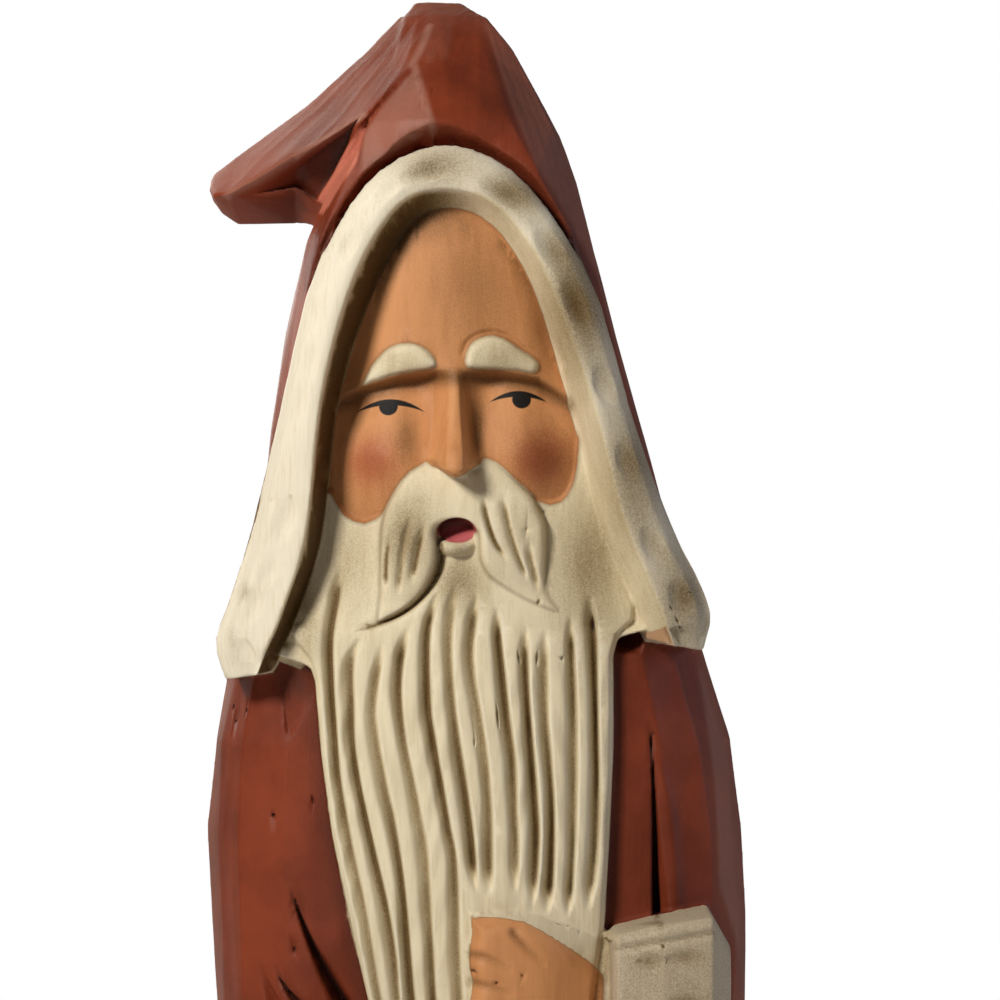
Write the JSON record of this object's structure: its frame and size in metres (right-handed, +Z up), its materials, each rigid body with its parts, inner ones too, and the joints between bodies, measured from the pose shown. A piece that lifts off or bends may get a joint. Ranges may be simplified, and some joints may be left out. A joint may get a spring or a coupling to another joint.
{
  "type": "carved santa figure",
  "caption": "Standing folk-style santa figure carved from one block of wood and painted, with a folded hood, fur trim, long fluted beard, folded hands and a low base.",
  "frame": {"origin": "middle of the base's underside", "axes": "+Z up to the hood's peak, the figure faces -Y, +X to the viewer's right"},
  "size_m": [0.134, 0.11, 0.412],
  "materials": {
    "painted_wood": "matte hand-brushed acrylic paint over carved wood, lightly antiqued in the cuts"
  },
  "bodies": {
    "root": {"carved_santa_figure": "painted_wood"}
  },
  "joints": []
}
